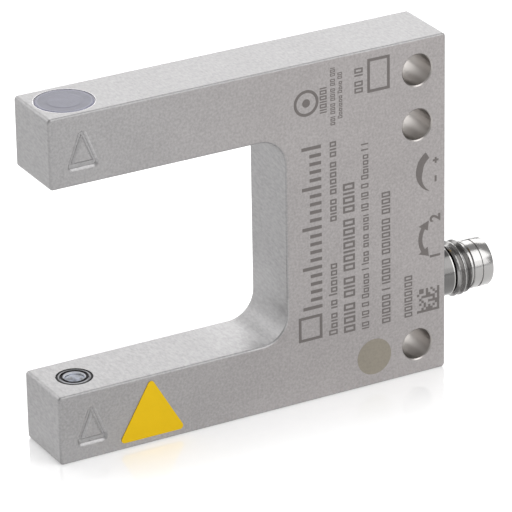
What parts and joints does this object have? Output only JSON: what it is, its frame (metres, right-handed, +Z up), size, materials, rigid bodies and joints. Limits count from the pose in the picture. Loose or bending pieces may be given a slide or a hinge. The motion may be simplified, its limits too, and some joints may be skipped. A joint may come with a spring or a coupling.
{
  "type": "fork sensor",
  "caption": "Fork light barrier in a milled stainless steel U-shaped body, with a laser beam across its slot, rear adjusting screws and a threaded plug.",
  "frame": {"origin": "middle of the flat underside of the lower arm, halfway through the thickness", "axes": "+Z up from the underside, +X from the fork's open end to the plug, +Y out of the plain back face; the engraved front face looks towards -Y"},
  "size_m": [0.069, 0.0101, 0.05],
  "materials": {
    "blasted_steel": "bead-blasted stainless steel",
    "turned_steel": "bright turned stainless steel",
    "black_metal": "black anodised",
    "lens_glass": "coated clear glass",
    "window_grey": "smoke grey translucent plastic",
    "black_rubber": "matt black",
    "diode_metal": "gold-plated can",
    "chip_black": "moulded black",
    "circuit_board": "green solder mask",
    "ribbon_grey": "grey insulation",
    "lamp_green": "clear green resin",
    "lamp_yellow": "clear yellow resin",
    "capacitor_yellow": "moulded yellow",
    "screw_brass": "turned brass",
    "trimmer_blue": "moulded blue",
    "insert_black": "moulded black",
    "contact_gold": "gold-plated",
    "marker_yellow": "printed yellow film"
  },
  "bodies": {
    "fork": {"housing": "blasted_steel", "back_cover": "blasted_steel", "plug_shell": "turned_steel", "emitter_tube": "turned_steel", "receiver_tube": "turned_steel", "emitter_lens_ring": "turned_steel", "receiver_lens_ring": "turned_steel", "emitter_baffle": "black_metal", "receiver_baffle": "black_metal", "emitter_lens": "lens_glass", "receiver_lens": "lens_glass", "indicator_window": "window_grey", "emitter_seal": "black_rubber", "receiver_seal": "black_rubber", "window_seal": "black_rubber", "plug_ring": "black_rubber", "laser_diode": "diode_metal", "photodiode": "chip_black", "controller_chip": "chip_black", "output_driver": "chip_black", "emitter_board": "circuit_board", "receiver_board": "circuit_board", "main_board": "circuit_board", "emitter_ribbon": "ribbon_grey", "receiver_ribbon": "ribbon_grey", "power_lamp": "lamp_green", "output_lamp": "lamp_yellow", "supply_capacitor": "capacitor_yellow", "sensitivity_trimmer": "trimmer_blue", "mode_switch": "trimmer_blue", "plug_insert": "insert_black", "plug_pin_1": "contact_gold", "plug_pin_2": "contact_gold", "plug_pin_3": "contact_gold", "marker_label": "marker_yellow"},
    "sensitivity_dial": {"sensitivity_screw": "screw_brass", "sensitivity_ring": "black_rubber"},
    "mode_dial": {"mode_screw": "screw_brass", "mode_ring": "black_rubber"}
  },
  "joints": [
    {"name": "sensitivity_turn", "type": "hinge", "parent": "fork", "child": "sensitivity_dial", "pos_m": [0.0296, 0, 0.0304], "axis": [1, 0, 0], "range_deg": [-135, 135]},
    {"name": "mode_turn", "type": "hinge", "parent": "fork", "child": "mode_dial", "pos_m": [0.0296, 0, 0.0202], "axis": [1, 0, 0], "range_deg": [0, 270]}
  ]
}
